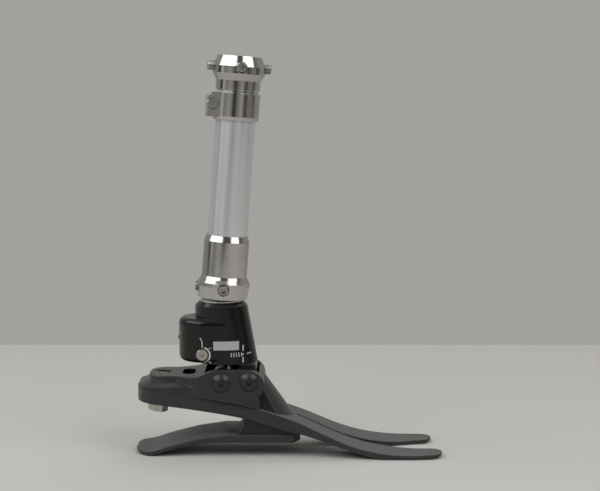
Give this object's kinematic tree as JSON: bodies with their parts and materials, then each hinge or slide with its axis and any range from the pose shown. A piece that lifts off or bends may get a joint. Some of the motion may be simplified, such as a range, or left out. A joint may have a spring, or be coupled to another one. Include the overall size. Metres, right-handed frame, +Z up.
{
  "type": "prosthetic ankle and foot",
  "caption": "Hydraulic prosthetic ankle on split-toe and heel leaf springs, with a pylon tube and a tube clamp that ends in a pyramid receiver.",
  "frame": {"origin": "on the ground under the middle of the foot's length and width", "axes": "+X towards the toes, +Z up, +Y across the foot to the side of the shorter prong"},
  "size_m": [0.2294, 0.0691, 0.2978],
  "materials": {
    "carbon": "satin carbon-fibre laminate",
    "wedge_plastic": "matt moulded black",
    "black_anodised": "satin black anodised",
    "black_gloss": "gloss black anodised",
    "polished_nickel": "polished nickel plate",
    "tube_aluminium": "satin clear anodised",
    "bolt_nickel": "dull nickel",
    "black_oxide": "black oxide",
    "screw_steel": "dark zinc",
    "valve_steel": "turned steel",
    "pin_steel": "ground steel",
    "bearing_bronze": "turned bronze",
    "seal_rubber": "matt"
  },
  "bodies": {
    "foot": {"toe_spring": "carbon", "heel_spring": "carbon", "heel_wedge": "wedge_plastic", "carrier": "black_anodised", "heel_bolt": "bolt_nickel", "heel_bolt_washer": "black_oxide", "heel_bolt_insert": "bolt_nickel", "heel_spring_bolts": "black_oxide", "heel_spring_washers": "black_oxide", "ankle_pin": "pin_steel", "ankle_pin_screws": "black_oxide", "piston_pin": "pin_steel", "piston_pin_screws": "black_oxide", "piston_pin_sleeves": "wedge_plastic"},
    "shank": {"ankle_body": "black_gloss", "ankle_bushes": "bearing_bronze", "cylinder_gland": "black_anodised", "rod_seal": "seal_rubber", "fill_plug": "bolt_nickel", "gallery_plug": "bearing_bronze", "male_pyramid": "pin_steel", "pyramid_screw": "black_oxide", "tube_adapter": "polished_nickel", "tube_adapter_screws": "screw_steel", "pylon_tube": "tube_aluminium"},
    "piston": {"piston_rod": "pin_steel", "piston": "bearing_bronze", "piston_seal": "seal_rubber", "piston_nut": "screw_steel"},
    "plantarflexion_valve": {"plantarflexion_valve": "valve_steel", "plantarflexion_valve_ring": "seal_rubber"},
    "dorsiflexion_valve": {"dorsiflexion_valve": "valve_steel", "dorsiflexion_valve_ring": "seal_rubber"},
    "clamp": {"clamp_adapter": "polished_nickel", "clamp_bolt": "screw_steel", "clamp_screws": "screw_steel"}
  },
  "joints": [
    {"name": "ankle_flexion", "type": "hinge", "parent": "foot", "child": "shank", "pos_m": [-0.0291, 0, 0.0566], "axis": [0, 1, 0], "range_deg": [-6, 3]},
    {"name": "piston_slide", "type": "slide", "parent": "shank", "child": "piston", "axis": [0, 0, 1], "range_m": [-0.0015, 0.003]},
    {"name": "plantarflexion_valve_turn", "type": "hinge", "parent": "shank", "child": "plantarflexion_valve", "pos_m": [-0.064, -0.02, 0.076], "axis": [0, -1, 0], "range_deg": [-90, 90]},
    {"name": "dorsiflexion_valve_turn", "type": "hinge", "parent": "shank", "child": "dorsiflexion_valve", "pos_m": [-0.064, 0.02, 0.076], "axis": [0, 1, 0], "range_deg": [-90, 90]},
    {"name": "clamp_swivel", "type": "hinge", "parent": "shank", "child": "clamp", "pos_m": [-0.03833, 0, 0.26137], "axis": [0.0772, 0, 0.997], "continuous": true}
  ],
  "couplings": [
    {"joint": "piston_slide", "follows": "ankle_flexion", "m_per_rad": -0.0207}
  ]
}
